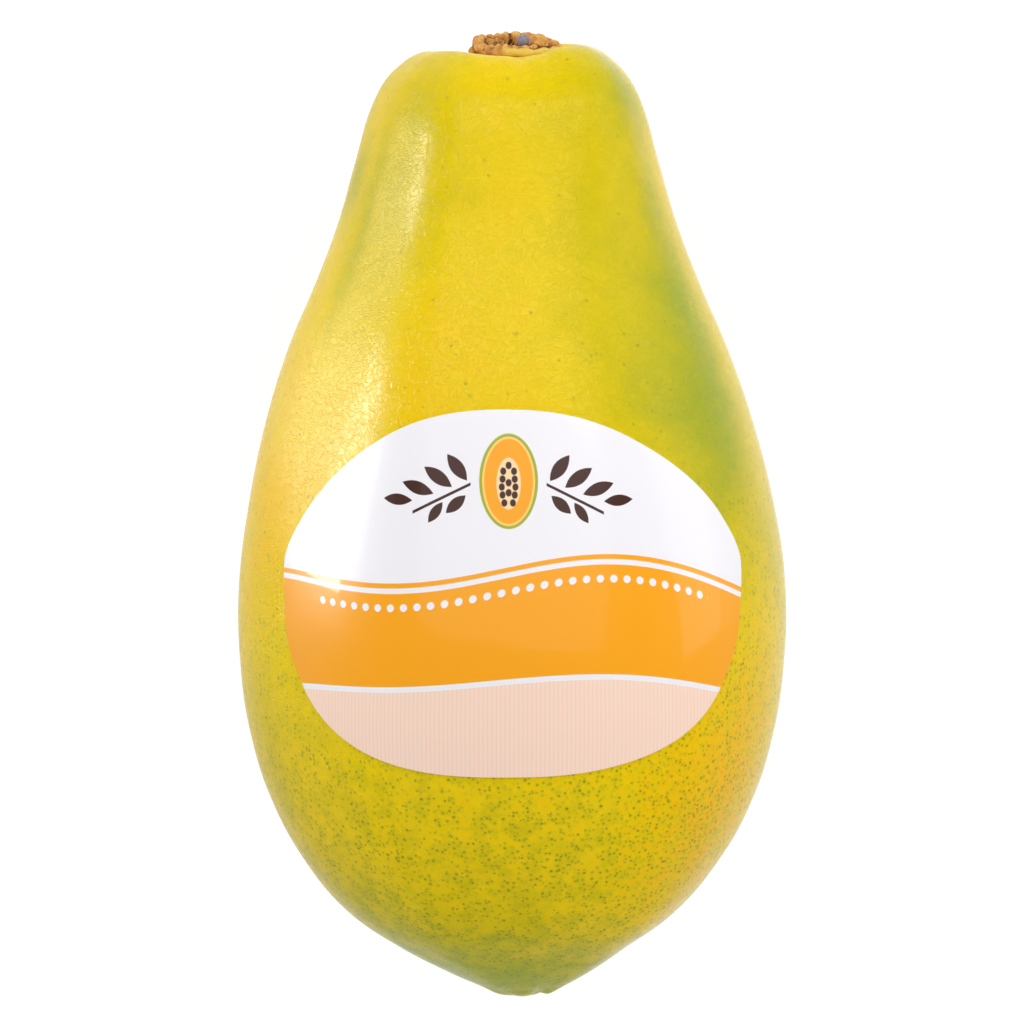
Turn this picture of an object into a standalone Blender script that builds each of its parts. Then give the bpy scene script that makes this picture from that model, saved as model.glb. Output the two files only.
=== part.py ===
"""A ripe papaya lying on its side: the fruit, the corky stem scar in its socket and a fruit sticker.

Each piece is modelled upright, blossom tip at height 0 and stem end up, with the front towards -Y.
The whole is then laid down, front up and stem end towards +Y, on the small flat spot under its weight.
"""

import math

import bmesh
import bpy
import numpy as np
from mathutils import Matrix, Vector

MM = 0.001

# Half outline of the fruit, (radius, height) in mm: stem seat, rim, shoulder, neck, belly, blossom tip
OUTLINE = (
    (0.0, 137.3),
    (4.0, 137.3),
    (7.4, 137.4),
    (9.8, 138.0),
    (11.8, 138.2),
    (13.6, 137.6),
    (15.4, 136.3),
    (17.3, 134.4),
    (19.4, 130.6),
    (21.9, 122.3),
    (24.5, 113.4),
    (27.9, 104.5),
    (31.9, 95.1),
    (35.6, 83.8),
    (38.3, 72.0),
    (39.8, 61.1),
    (39.7, 49.3),
    (38.1, 38.3),
    (34.9, 28.4),
    (30.2, 19.9),
    (24.2, 12.7),
    (17.2, 7.6),
    (10.6, 3.6),
    (6.5, 1.55),
    (3.9, 0.4),
    (2.2, 0.2),
    (0.0, 0.9),
)
OUTLINE_STEPS = 2
TURN_STEPS = 60

# Five blunt ribs: how deep at each height in mm, as a share of the radius
RIBS = 5
RIB_ANGLE = math.radians(-25)
RIB_SHARPNESS = 0.25
RIB_DEPTHS = ((0, 0.030), (26, 0.010), (60, 0.007), (104, 0.014), (130, 0.026), (140, 0.034))
# How far the rim round the stem end stands up or dips: (angle in degrees from the front, mm)
RIM_LIFTS = (
    (-180, 0.0),
    (-130, -1.4),
    (-90, -0.08),
    (-47, 0.2),
    (-4, -0.45),
    (8, -0.9),
    (20, -0.27),
    (38, 0.74),
    (55, 0.93),
    (90, 0.34),
    (135, 0.8),
    (180, 0.0),
)
RIM_LIFT_RADII = (7.6 * MM, 11.5 * MM)
RIM_LIFT_HEIGHTS = (122 * MM, 137 * MM)

# Soft hollows in the skin: (angle in degrees from the front, height, half angle, half height, depth in mm)
HOLLOWS = (
    (44, 105, 15, 12, 0.55),
    (8, 120, 16, 16, 0.35),
    (-52, 92, 14, 26, 0.40),
    (-120, 100, 20, 22, 0.60),
    (150, 112, 18, 16, 0.50),
    (58, 36, 16, 16, 0.30),
)

# How far the fruit's own axis strays sideways at each height, in mm
AXIS_DRIFT = ((0, 1.3), (9, -0.1), (36, 0.0), (62, 0.0), (104, -0.6), (140, -0.5))

# Puckered blossom tip
TIP_FOLDS = 7
TIP_FOLD_DEPTH = 0.10
TIP_FOLD_RADIUS = 7 * MM

# How it lies: neck a little lower, on a flat spot
NECK_DROP = math.radians(8.5)
FLAT_DEPTH = 0.6 * MM

# Corky stem scar in its socket
SEAT_HEIGHT = 137.3 * MM
SCAR_OFFSET = -0.3 * MM
ROOT_RADIUS = 3.2 * MM
ROOT_DEPTH = 3.4 * MM
# Half outline of the cup that the rim grows on, (radius, height) in mm above the seat
CUP = ((0.0, 0.3), (5.15, 0.3), (5.0, 1.7), (4.7, 1.7), (3.6, 0.95), (0.0, 0.85))
CUP_STEPS = 30
# Knobbly rings round the cup: radius, tube, knobs, sides, shift to the right and height, lean (mm, degrees)
RIM = (4.85, 0.78, 17, 8, 0.0, 1.75, 7)
COLLAR = (5.5, 0.62, 23, 6, 0.9, 1.2, 0)
RING_STEPS = 85
# Lobes of the rim and broken ends of the stem's fibres inside it: (x, y, height, radius) in mm
LOBES = (
    (3.9, -2.4, 2.05, 1.45),
    (5.6, -0.2, 1.5, 1.15),
    (1.8, 0.3, 1.85, 1.15),
    (-0.9, 1.2, 1.9, 1.0),
    (-2.4, 0.4, 1.6, 0.9),
    (-5.7, -0.3, 0.95, 0.62),
    (0.8, 4.5, 2.6, 1.0),
    (2.8, 4.1, 2.3, 1.0),
)

# Fruit sticker, flat size before it is wrapped round the belly
STICKER_HEIGHT_ON_FRUIT = 66.3 * MM
STICKER_SHIFT = -0.7 * MM
STICKER_HALF_WIDTH = 38.0 * MM
STICKER_REACH_UP = 22.7 * MM
STICKER_REACH_DOWN = 29.3 * MM
# Power of the rounded outline: 2 is an ellipse, less is more pointed, more is squarer
STICKER_TOP_ROUNDNESS = 2.0
STICKER_SIDE_ROUNDNESS = 1.5
STICKER_LOWER_ROUNDNESS = 2.5
STICKER_THICKNESS = 0.4 * MM
STICKER_COLUMNS = 24
STICKER_ROWS = 16

GAP = 0.3 * MM
WELD = 0.00001


def clear_scene():
    for obj in list(bpy.data.objects):
        bpy.data.objects.remove(obj, do_unlink=True)


def new_collection(name):
    collection = bpy.data.collections.new(name)
    bpy.context.scene.collection.children.link(collection)
    return collection


def new_material(name, colour, roughness, metallic=0.0):
    material = bpy.data.materials.new(name)
    material.use_nodes = True
    shader = material.node_tree.nodes["Principled BSDF"]
    shader.inputs["Base Color"].default_value = (*colour, 1.0)
    shader.inputs["Roughness"].default_value = roughness
    shader.inputs["Metallic"].default_value = metallic
    return material


def new_object(name, data, collection, material=None):
    obj = bpy.data.objects.new(name, data)
    collection.objects.link(obj)
    if material is not None:
        data.materials.append(material)
    return obj


def mesh_from(shape, name):
    """Turns a finished bmesh into a mesh."""
    mesh = bpy.data.meshes.new(name)
    shape.to_mesh(mesh)
    shape.free()
    return mesh


def evaluated_mesh(obj):
    """The object's mesh with its modifiers applied."""
    graph = bpy.context.evaluated_depsgraph_get()
    return bpy.data.meshes.new_from_object(obj.evaluated_get(graph), depsgraph=graph)


def read_points(mesh):
    points = np.empty(len(mesh.vertices) * 3, np.float32)
    mesh.vertices.foreach_get("co", points)
    return points.reshape(-1, 3).astype(float)


def write_points(mesh, points):
    mesh.vertices.foreach_set("co", points.astype(np.float32).ravel())
    mesh.update()


def smooth_step(low, high, value):
    share = np.clip((value - low) / (high - low), 0.0, 1.0)
    return share * share * (3 - 2 * share)


def eased(places, keys, unit=MM):
    """A value that eases from key to key, each (place, value), with the places in mm or another unit."""
    result = np.full_like(places, float(keys[0][1]))
    for (low, before), (high, after) in zip(keys, keys[1:]):
        result += (after - before) * smooth_step(low * unit, high * unit, places)
    return result


def rib_wave(angles):
    """Near 1 on the crest of each rib, below 0 between them. The second term keeps the crests narrow."""
    turn = RIBS * (angles - RIB_ANGLE)
    return np.cos(turn) + RIB_SHARPNESS * np.cos(2 * turn)


def angle_between(angles, angle):
    return (angles - angle + math.pi) % (2 * math.pi) - math.pi


def grown(points):
    """Moves points of the turned fruit to its real form: ribs, lobed rim, hollows, puckered tip."""
    x, y, heights = points.T
    angles = np.arctan2(x, -y)
    radii = np.hypot(x, y)
    ribs = rib_wave(angles)
    new_radii = radii * (1 + eased(heights, RIB_DEPTHS) * ribs)
    for angle, height, half_angle, half_height, depth in HOLLOWS:
        across = angle_between(angles, math.radians(angle)) / math.radians(half_angle)
        along = (heights - height * MM) / (half_height * MM)
        new_radii -= depth * MM * np.exp(-(across**2) - along**2) * (radii > WELD)
    at_tip = (1 - smooth_step(0, TIP_FOLD_RADIUS, radii)) * (heights < TIP_FOLD_RADIUS)
    new_radii *= 1 + TIP_FOLD_DEPTH * at_tip * np.cos(TIP_FOLDS * angles)
    at_rim = smooth_step(*RIM_LIFT_RADII, radii) * smooth_step(*RIM_LIFT_HEIGHTS, heights)
    lifts = eased(angles, RIM_LIFTS, math.radians(1)) * MM
    return np.column_stack(
        (
            new_radii * np.sin(angles) + eased(heights, AXIS_DRIFT) * MM,
            -new_radii * np.cos(angles),
            heights + lifts * at_rim,
        )
    )


def laid_rotation():
    """Turns the upright fruit so that its stem end points to +Y and its front looks up."""
    return Matrix.Rotation(-(math.pi / 2 + NECK_DROP), 4, "X")


def slice_flat_spot(mesh):
    """Takes a thin cap off the underside, and closes it with one flat face."""
    down = laid_rotation().to_3x3().inverted() @ Vector((0, 0, -1))
    lowest = max(vertex.co.dot(down) for vertex in mesh.vertices)
    skin = bmesh.new()
    skin.from_mesh(mesh)
    cut = bmesh.ops.bisect_plane(
        skin,
        geom=[*skin.verts, *skin.edges, *skin.faces],
        dist=WELD,
        plane_co=down * (lowest - FLAT_DEPTH),
        plane_no=down,
        clear_outer=True,
    )
    edges = [part for part in cut["geom_cut"] if isinstance(part, bmesh.types.BMEdge)]
    bmesh.ops.holes_fill(skin, edges=edges, sides=0)
    bmesh.ops.recalc_face_normals(skin, faces=skin.faces)
    skin.to_mesh(mesh)
    skin.free()


def turned_fruit(collection):
    """The outline turned round the axis, as a mesh."""
    curve = bpy.data.curves.new("outline", "CURVE")
    curve.dimensions = "3D"
    curve.resolution_u = OUTLINE_STEPS
    spline = curve.splines.new("BEZIER")
    spline.bezier_points.add(len(OUTLINE) - 1)
    for point, (radius, height) in zip(spline.bezier_points, OUTLINE):
        point.co = (radius * MM, 0, height * MM)
        point.handle_left_type = point.handle_right_type = "AUTO"
    outline = new_object("outline", curve, collection)
    turn = outline.modifiers.new("turn", "SCREW")
    turn.steps = turn.render_steps = TURN_STEPS
    turn.use_merge_vertices = True
    turn.merge_threshold = WELD
    mesh = evaluated_mesh(outline)
    bpy.data.objects.remove(outline)
    return mesh


def make_fruit(collection, cutters, material):
    mesh = turned_fruit(collection)
    write_points(mesh, grown(read_points(mesh)))
    slice_flat_spot(mesh)
    mesh.shade_smooth()
    fruit = new_object("fruit", mesh, collection)
    mesh.materials.clear()
    mesh.materials.append(material)

    shape = bmesh.new()
    bmesh.ops.create_cone(
        shape,
        cap_ends=True,
        segments=24,
        radius1=ROOT_RADIUS + GAP,
        radius2=ROOT_RADIUS + GAP,
        depth=2 * (ROOT_DEPTH + GAP),
    )
    socket = new_object("stem_socket", mesh_from(shape, "stem_socket"), cutters)
    socket.location = (SCAR_OFFSET, 0, SEAT_HEIGHT)
    socket.hide_render = True
    socket.display_type = "WIRE"
    cut = fruit.modifiers.new("stem_socket", "BOOLEAN")
    cut.operation = "DIFFERENCE"
    cut.object = socket
    return fruit, socket


def turned_shape(outline, steps):
    """A closed shape turned round the axis from a half outline whose two ends are on the axis."""
    shape = bmesh.new()
    points = [shape.verts.new((radius * MM, 0, height * MM)) for radius, height in outline]
    edges = [shape.edges.new(pair) for pair in zip(points, points[1:])]
    bmesh.ops.spin(
        shape,
        geom=[*points, *edges],
        angle=2 * math.pi,
        steps=steps,
        axis=(0, 0, 1),
        cent=(0, 0, 0),
    )
    bmesh.ops.remove_doubles(shape, verts=shape.verts, dist=WELD)
    bmesh.ops.recalc_face_normals(shape, faces=shape.faces)
    return shape


def knobbly_ring(radius, tube, knobs, sides, shift, height, lean):
    """A ring whose tube swells and shrinks into knobs. Its front hangs lower by the lean."""
    shape = bmesh.new()
    circle = bmesh.ops.create_circle(shape, segments=sides, radius=tube * MM)
    bmesh.ops.rotate(shape, verts=circle["verts"], matrix=Matrix.Rotation(math.pi / 2, 3, "X"))
    bmesh.ops.translate(shape, verts=circle["verts"], vec=(radius * MM, 0, 0))
    bmesh.ops.spin(
        shape,
        geom=[*shape.verts, *shape.edges],
        angle=2 * math.pi,
        steps=RING_STEPS,
        axis=(0, 0, 1),
        cent=(0, 0, 0),
    )
    bmesh.ops.remove_doubles(shape, verts=shape.verts, dist=WELD)
    for vertex in shape.verts:
        turn = math.atan2(vertex.co.y, vertex.co.x)
        spine = Vector((math.cos(turn), math.sin(turn), 0)) * radius * MM
        swell = 1 + 0.24 * math.cos(knobs * turn + 1.1 * math.sin(3 * turn))
        swell += 0.10 * math.cos(4 * turn + 0.7) + 0.07 * math.cos(7 * turn)
        wander = 1 + 0.045 * math.cos(2 * turn + 0.6) + 0.035 * math.cos(5 * turn)
        vertex.co = spine * wander + (vertex.co - spine) * swell
        vertex.co.z += height * MM + vertex.co.y * math.tan(math.radians(lean))
        vertex.co.x += shift * MM
    bmesh.ops.recalc_face_normals(shape, faces=shape.faces)
    return shape


def lobe(x, y, height, radius):
    shape = bmesh.new()
    bmesh.ops.create_icosphere(shape, subdivisions=2, radius=radius * MM)
    bmesh.ops.translate(shape, verts=shape.verts, vec=(x * MM, y * MM, height * MM))
    return shape


def make_stem_scar(collection, cutters, material):
    """The corky scar: a cup with a root below it, a knobbly rim, a lower collar and a few lobes."""
    root = bmesh.new()
    root_top = CUP[-1][1] * MM / 2
    bmesh.ops.create_cone(
        root,
        cap_ends=True,
        segments=24,
        radius1=ROOT_RADIUS,
        radius2=ROOT_RADIUS,
        depth=ROOT_DEPTH + root_top,
    )
    bmesh.ops.translate(root, verts=root.verts, vec=(0, 0, (root_top - ROOT_DEPTH) / 2))
    scar = new_object("stem_scar", mesh_from(root, "stem_scar"), collection, material)

    pieces = bpy.data.collections.new("stem_scar_pieces")
    cutters.children.link(pieces)
    shapes = [turned_shape(CUP, CUP_STEPS), knobbly_ring(*RIM), knobbly_ring(*COLLAR)]
    shapes += [lobe(*place) for place in LOBES]
    for shape in shapes:
        new_object("scar_piece", mesh_from(shape, "scar_piece"), pieces)
    join = scar.modifiers.new("join", "BOOLEAN")
    join.operation = "UNION"
    join.operand_type = "COLLECTION"
    join.collection = pieces
    scar.data = evaluated_mesh(scar)
    scar.modifiers.clear()
    for piece in list(pieces.objects):
        bpy.data.objects.remove(piece)
    bpy.data.collections.remove(pieces)
    scar.data.materials.clear()
    scar.data.materials.append(material)
    scar.data.shade_smooth()
    scar.data.set_sharp_from_angle(angle=math.radians(50))
    scar.location = (SCAR_OFFSET, 0, SEAT_HEIGHT)
    return scar


def sticker_reach(angle):
    """How far the sticker's edge is from its middle, at an angle counted from its right."""
    across, up = abs(math.cos(angle)), math.sin(angle)
    height, power = STICKER_REACH_DOWN, STICKER_LOWER_ROUNDNESS
    if up > 0:
        height = STICKER_REACH_UP
        power = STICKER_TOP_ROUNDNESS + (STICKER_SIDE_ROUNDNESS - STICKER_TOP_ROUNDNESS) * across
    return ((across / STICKER_HALF_WIDTH) ** power + (abs(up) / height) ** power) ** (-1 / power)


def make_sticker(collection, fruit, material):
    """A flat sheet cut to the sticker's outline, bent round the belly and laid a small gap off the skin."""
    radii, heights = zip(*((r * MM, h * MM) for r, h in reversed(OUTLINE)))
    shape = bmesh.new()
    bmesh.ops.create_grid(shape, x_segments=STICKER_COLUMNS, y_segments=STICKER_ROWS, size=1)
    for vertex in shape.verts:
        across, up = vertex.co.x, vertex.co.y
        disc_x = across * math.sqrt(1 - up * up / 2)
        disc_y = up * math.sqrt(1 - across * across / 2)
        reach = math.hypot(disc_x, disc_y) * sticker_reach(math.atan2(disc_y, disc_x))
        turn = math.atan2(disc_y, disc_x)
        height = STICKER_HEIGHT_ON_FRUIT + reach * math.sin(turn)
        radius = float(np.interp(height, heights, radii))
        angle = (STICKER_SHIFT + reach * math.cos(turn)) / radius
        vertex.co = (
            (radius + 2 * GAP) * math.sin(angle),
            -(radius + 2 * GAP) * math.cos(angle),
            height,
        )
    bmesh.ops.recalc_face_normals(shape, faces=shape.faces)
    sticker = new_object("sticker", mesh_from(shape, "sticker"), collection, material)
    wrap = sticker.modifiers.new("wrap", "SHRINKWRAP")
    wrap.target = fruit
    wrap.wrap_method = "NEAREST_SURFACEPOINT"
    wrap.wrap_mode = "ABOVE_SURFACE"
    wrap.offset = GAP
    thickness = sticker.modifiers.new("thickness", "SOLIDIFY")
    thickness.thickness = STICKER_THICKNESS
    thickness.offset = 1.0
    return sticker


def stand_on_origin(root, parts):
    """Shifts the whole so that the middle of its bounding box's underside is at the origin."""
    bpy.context.view_layer.update()
    graph = bpy.context.evaluated_depsgraph_get()
    corners = []
    for part in parts:
        evaluated = part.evaluated_get(graph)
        mesh = evaluated.to_mesh()
        matrix = evaluated.matrix_world
        corners.extend(matrix @ vertex.co for vertex in mesh.vertices)
        evaluated.to_mesh_clear()
    low = Vector(min(corner[axis] for corner in corners) for axis in range(3))
    high = Vector(max(corner[axis] for corner in corners) for axis in range(3))
    root.location -= Vector(((low.x + high.x) / 2, (low.y + high.y) / 2, low.z))
    bpy.context.view_layer.update()


def main():
    clear_scene()
    parts = new_collection("papaya")
    cutters = new_collection("cutters")
    skin = new_material("papaya_skin", (0.72, 0.62, 0.05), 0.35)
    cork = new_material("dry_cork", (0.45, 0.26, 0.10), 0.85)
    paper = new_material("coated_paper", (0.88, 0.87, 0.90), 0.25)

    fruit, socket = make_fruit(parts, cutters, skin)
    scar = make_stem_scar(parts, cutters, cork)
    sticker = make_sticker(parts, fruit, paper)

    root = bpy.data.objects.new("papaya_root", None)
    parts.objects.link(root)
    for obj in (fruit, socket, scar, sticker):
        obj.parent = root
    root.rotation_euler = laid_rotation().to_euler()
    stand_on_origin(root, (fruit, scar, sticker))


if __name__ == "__main__":
    main()
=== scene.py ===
"""The looks of a papaya: waxy speckled skin, corky stem scar, printed fruit sticker and a bright studio.

Each piece is modelled upright, blossom tip at height 0 and front towards -Y, then laid on its flat spot.
"""

import math
import random

import bmesh
import bpy
import numpy as np
from mathutils import Euler, Matrix, Vector, noise


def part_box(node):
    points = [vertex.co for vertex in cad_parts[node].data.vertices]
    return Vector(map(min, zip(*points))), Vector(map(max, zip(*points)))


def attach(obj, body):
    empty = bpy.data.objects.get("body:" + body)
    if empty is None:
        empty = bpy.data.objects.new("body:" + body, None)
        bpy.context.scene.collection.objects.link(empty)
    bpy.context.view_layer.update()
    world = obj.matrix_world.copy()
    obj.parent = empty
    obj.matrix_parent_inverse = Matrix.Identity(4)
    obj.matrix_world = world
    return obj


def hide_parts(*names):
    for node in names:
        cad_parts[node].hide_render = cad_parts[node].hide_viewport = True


bl_info = {
    "name": "Papaya",
    "version": (1, 0, 0),
    "blender": (4, 5, 0),
    "location": "3D View > Sidebar > Papaya",
    "description": "Models a ripe papaya with its stem scar and sticker, and a studio for it",
    "category": "Object",
}

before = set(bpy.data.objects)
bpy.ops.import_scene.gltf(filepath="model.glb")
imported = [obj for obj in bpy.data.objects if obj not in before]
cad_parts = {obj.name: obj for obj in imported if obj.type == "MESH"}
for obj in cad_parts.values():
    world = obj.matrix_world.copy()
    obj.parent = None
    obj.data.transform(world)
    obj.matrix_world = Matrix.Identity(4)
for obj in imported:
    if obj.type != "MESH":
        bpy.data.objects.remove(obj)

MM = 0.001
WELD = 0.00001

# Half outline of the fruit, (radius, height) in mm: stem seat, rim, shoulder, neck, belly, blossom tip
SEAT_HEIGHT = 137.3
SOCKET_RADIUS = 3.5
SOCKET_DEPTH = 3.7
OUTLINE = (
    (0.0, SEAT_HEIGHT),
    (SOCKET_RADIUS, SEAT_HEIGHT),
    (7.4, 137.4),
    (9.8, 138.0),
    (11.8, 138.2),
    (13.6, 137.6),
    (15.4, 136.3),
    (17.3, 134.4),
    (19.4, 130.6),
    (21.9, 122.3),
    (24.5, 113.4),
    (27.9, 104.5),
    (31.9, 95.1),
    (35.6, 83.8),
    (38.3, 72.0),
    (39.8, 61.1),
    (39.7, 49.3),
    (38.1, 38.3),
    (34.9, 28.4),
    (30.2, 19.9),
    (24.2, 12.7),
    (17.2, 7.6),
    (10.6, 3.6),
    (6.5, 1.55),
    (3.9, 0.4),
    (2.2, 0.2),
    (0.0, 0.9),
)

# Five blunt ribs: how deep at each height in mm, as a share of the radius
RIBS = 5
RIB_ANGLE = math.radians(-25)
RIB_SHARPNESS = 0.25
RIB_DEPTHS = ((0, 0.030), (26, 0.010), (60, 0.007), (104, 0.014), (130, 0.026), (140, 0.034))
# How far the rim round the stem end stands up or dips: (angle in degrees from the front, mm)
RIM_LIFTS = (
    (-180, 0.0),
    (-130, -1.4),
    (-90, -0.08),
    (-47, 0.2),
    (-4, -0.45),
    (8, -0.9),
    (20, -0.27),
    (38, 0.74),
    (55, 0.93),
    (90, 0.34),
    (135, 0.8),
    (180, 0.0),
)
RIM_LIFT_RADII = (7.6, 11.5)
RIM_LIFT_HEIGHTS = (122, 137)

# Soft hollows in the skin: (angle in degrees from the front, height, half angle, half height, depth in mm)
HOLLOWS = (
    (44, 105, 15, 12, 0.55),
    (8, 120, 16, 16, 0.35),
    (-52, 92, 14, 26, 0.40),
    (-120, 100, 20, 22, 0.60),
    (150, 112, 18, 16, 0.50),
    (58, 36, 16, 16, 0.30),
)
AXIS_DRIFT = ((0, 1.3), (9, -0.1), (36, 0.0), (62, 0.0), (104, -0.6), (140, -0.5))
TIP_FOLDS = 7
TIP_FOLD_DEPTH = 0.16
TIP_FOLD_RADIUS = 9
# A groove across the tip: how far right of the axis, half width and depth in mm
TIP_NOTCH = (2.4, 0.55, 0.65)
DRY_TIP_RADII = (1.0, 2.4)

# How it lies
NECK_DROP = math.radians(8.5)
FLAT_DEPTH = 0.6

# How far the skin has turned from green, 0, to golden, 1
RIPENESS = 0.62
# Greener and riper patches: (degrees from the front, height in mm, half angle, half height, change)
RIPE_PATCHES = (
    (44, 99, 20, 26, -0.30),
    (56, 82, 18, 18, -0.36),
    (62, 106, 13, 18, -0.36),
    (28, 88, 12, 9, -0.12),
    (22, 112, 12, 22, -0.15),
    (62, 134, 26, 8, -0.42),
    (-80, 119, 9, 6, -0.30),
    (-44, 120, 20, 20, -0.26),
    (-61, 110, 5, 13, -0.26),
    (-24, 92, 12, 16, 0.14),
    (4, 88, 16, 12, 0.08),
    (-62, 74, 26, 24, 0.20),
    (56, 34, 26, 22, 0.36),
    (-24, 13, 44, 9, -0.12),
    (-64, 16, 20, 12, -0.14),
    (-16, 30, 36, 10, 0.04),
    (-66, 42, 13, 11, -0.18),
    (88, 60, 16, 24, -0.14),
    (140, 118, 34, 18, -0.30),
    (-135, 66, 28, 30, -0.22),
    (178, 82, 32, 22, 0.22),
    (150, 30, 36, 16, -0.16),
    (-110, 128, 26, 12, -0.26),
)
BLOSSOM_GREEN = -0.50
BLOSSOM_GREEN_HEIGHTS = (1, 17)

# Dark dots: how dense they are at each height in mm, from 0 to 1
SPECKLE_DENSITY = ((0, 1.0), (30, 1.0), (48, 0.72), (66, 0.38), (84, 0.06), (110, 0.012), (139, 0.01))
# Where they thin out, as (angle, height, half angle, half height), and by what share
THIN_SPECKLES_PLACE = (-70, 60, 40, 30)
THIN_SPECKLES = 0.6

# Drifts of the skin's colour: size of the clouds in mm, and how far they turn it
CLOUDS = (11.0, 0.34)
MOTTLE = (2.6, 0.20)
# Flocks of dots: size in mm, where one begins and is full, how much greener, share of dots out and in
FLOCK_SIZE = 2.8
FLOCK_EDGES = (0.36, 0.68)
FLOCK_GREEN = 0.20
FLOCK_SHARES = (0.55, 1.25)
# Dots: least and largest radius as a share of the spacing, depth of colour, that where few grow, halo
DOT_RADII = (0.24, 0.40)
DOT_DEPTHS = (0.25, 0.68)
LONE_DOT_DEPTH = 0.5
HALO_DEPTH = 0.24
WRINKLE_SIZE = 0.9


def smooth_step(low, high, value):
    share = np.clip((value - low) / (high - low), 0.0, 1.0)
    return share * share * (3 - 2 * share)


def eased(values, keys):
    """A value that eases from key to key, each (place, value)."""
    result = np.full_like(values, float(keys[0][1]))
    for (low, before), (high, after) in zip(keys, keys[1:]):
        result += (after - before) * smooth_step(low, high, values)
    return result


def patch(angles, heights, angle, height, half_angle, half_height):
    """1 in the middle of a soft patch of the skin, 0 far from it."""
    turn = (angles - math.radians(angle) + math.pi) % (2 * math.pi) - math.pi
    across = turn / math.radians(half_angle)
    along = (heights - height) / half_height
    return np.exp(-(across**2) - along**2)


def rib_wave(angles):
    """Near 1 on the crest of each rib and below 0 between them. The second term keeps the crests narrow."""
    turn = RIBS * (angles - RIB_ANGLE)
    return np.cos(turn) + RIB_SHARPNESS * np.cos(2 * turn)


def grown(points):
    """Moves points of the turned fruit, in mm, to its real form: ribs, lobed rim, hollows, puckered tip."""
    x, y, heights = points.T
    angles = np.arctan2(x, -y)
    radii = np.hypot(x, y)
    ribs = rib_wave(angles)
    new_radii = radii * (1 + eased(heights, RIB_DEPTHS) * ribs)
    for angle, height, half_angle, half_height, depth in HOLLOWS:
        hollow = patch(angles, heights, angle, height, half_angle, half_height)
        new_radii -= depth * hollow * (radii > 0.01)
    at_tip = (1 - smooth_step(0, TIP_FOLD_RADIUS, radii)) * (heights < TIP_FOLD_RADIUS)
    new_radii *= 1 + TIP_FOLD_DEPTH * at_tip * np.cos(TIP_FOLDS * angles)
    at_rim = smooth_step(*RIM_LIFT_RADII, radii) * smooth_step(*RIM_LIFT_HEIGHTS, heights)
    notch = TIP_NOTCH[2] * np.exp(-(((x - TIP_NOTCH[0]) / TIP_NOTCH[1]) ** 2)) * at_tip
    return np.column_stack(
        (
            new_radii * np.sin(angles) + eased(heights, AXIS_DRIFT),
            -new_radii * np.cos(angles),
            heights + eased(np.degrees(angles), RIM_LIFTS) * at_rim + notch,
        )
    )


def read_vectors(mesh, kind):
    values = np.empty(len(mesh.vertices) * 3, np.float32)
    mesh.vertices.foreach_get(kind, values)
    return values.reshape(-1, 3)


def read_points(mesh):
    """The mesh's points in mm."""
    return read_vectors(mesh, "co").astype(float) / MM


def write_points(mesh, points):
    mesh.vertices.foreach_set("co", (points * MM).astype(np.float32).ravel())
    mesh.update()


def write_values(mesh, name, values):
    """Stores one number for each point of the mesh, for its material to read."""
    layer = mesh.attributes.new(name, "FLOAT", "POINT")
    layer.data.foreach_set("value", values.astype(np.float32))


def laid_rotation():
    """Turns an upright piece so that its stem end points to +Y and its front looks up."""
    return Matrix.Rotation(-(math.pi / 2 + NECK_DROP), 4, "X")


def deselect_all():
    if bpy.context.mode != "OBJECT":
        bpy.ops.object.mode_set(mode="OBJECT")
    bpy.ops.object.select_all(action="DESELECT")


def name_piece(name):
    """Names the object just added, and its mesh."""
    piece = bpy.context.object
    piece.name = name
    piece.data.name = name
    return piece


def make_active(piece):
    deselect_all()
    piece.select_set(True)
    bpy.context.view_layer.objects.active = piece


def edit(select="SELECT"):
    """Opens the active object's mesh, with everything selected or nothing."""
    bpy.ops.object.mode_set(mode="EDIT")
    bpy.ops.mesh.select_all(action=select)


def leave_edit():
    bpy.ops.object.mode_set(mode="OBJECT")


def tidy_mesh():
    """Merges doubles of the open mesh and turns its faces outwards."""
    bpy.ops.mesh.select_all(action="SELECT")
    bpy.ops.mesh.remove_doubles(threshold=WELD)
    bpy.ops.mesh.normals_make_consistent(inside=False)


def apply_modifier(piece, kind, **settings):
    modifier = piece.modifiers.new(kind.lower(), kind)
    for name, value in settings.items():
        setattr(modifier, name, value)
    make_active(piece)
    bpy.ops.object.modifier_apply(modifier=modifier.name)


def linear(red, green, blue):
    """A screen colour, 0 to 255, as the numbers that shaders take."""
    shares = (value / 255 for value in (red, green, blue))
    return tuple(s / 12.92 if s <= 0.04045 else ((s + 0.055) / 1.055) ** 2.4 for s in shares)


# Shader building


def add(tree, kind, inputs=None, **settings):
    """Adds a node. inputs gives its sockets numbers, colours or the outputs of other nodes."""
    made = tree.nodes.new(kind)
    for name, value in settings.items():
        setattr(made, name, value)
    for socket, value in (inputs or {}).items():
        if isinstance(value, bpy.types.NodeSocket):
            tree.links.new(value, made.inputs[socket])
        else:
            made.inputs[socket].default_value = value
    return made


def maths(tree, operation, first, second=0.0, clamp=False):
    made = add(tree, "ShaderNodeMath", {0: first, 1: second}, operation=operation)
    made.use_clamp = clamp
    return made.outputs[0]


def times(tree, first, second):
    return maths(tree, "MULTIPLY", first, second)


def between(tree, value, low, high):
    """0 up to low, 1 from high on, smooth between them. low may be the larger."""
    made = add(
        tree,
        "ShaderNodeMapRange",
        {"Value": value, "From Min": low, "From Max": high},
        interpolation_type="SMOOTHSTEP",
    )
    return made.outputs[0]


def rescaled(tree, value, low, high):
    """Stretches 0 to 1 to a new range."""
    made = add(tree, "ShaderNodeMapRange", {"Value": value, "To Min": low, "To Max": high})
    return made.outputs[0]


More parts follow.
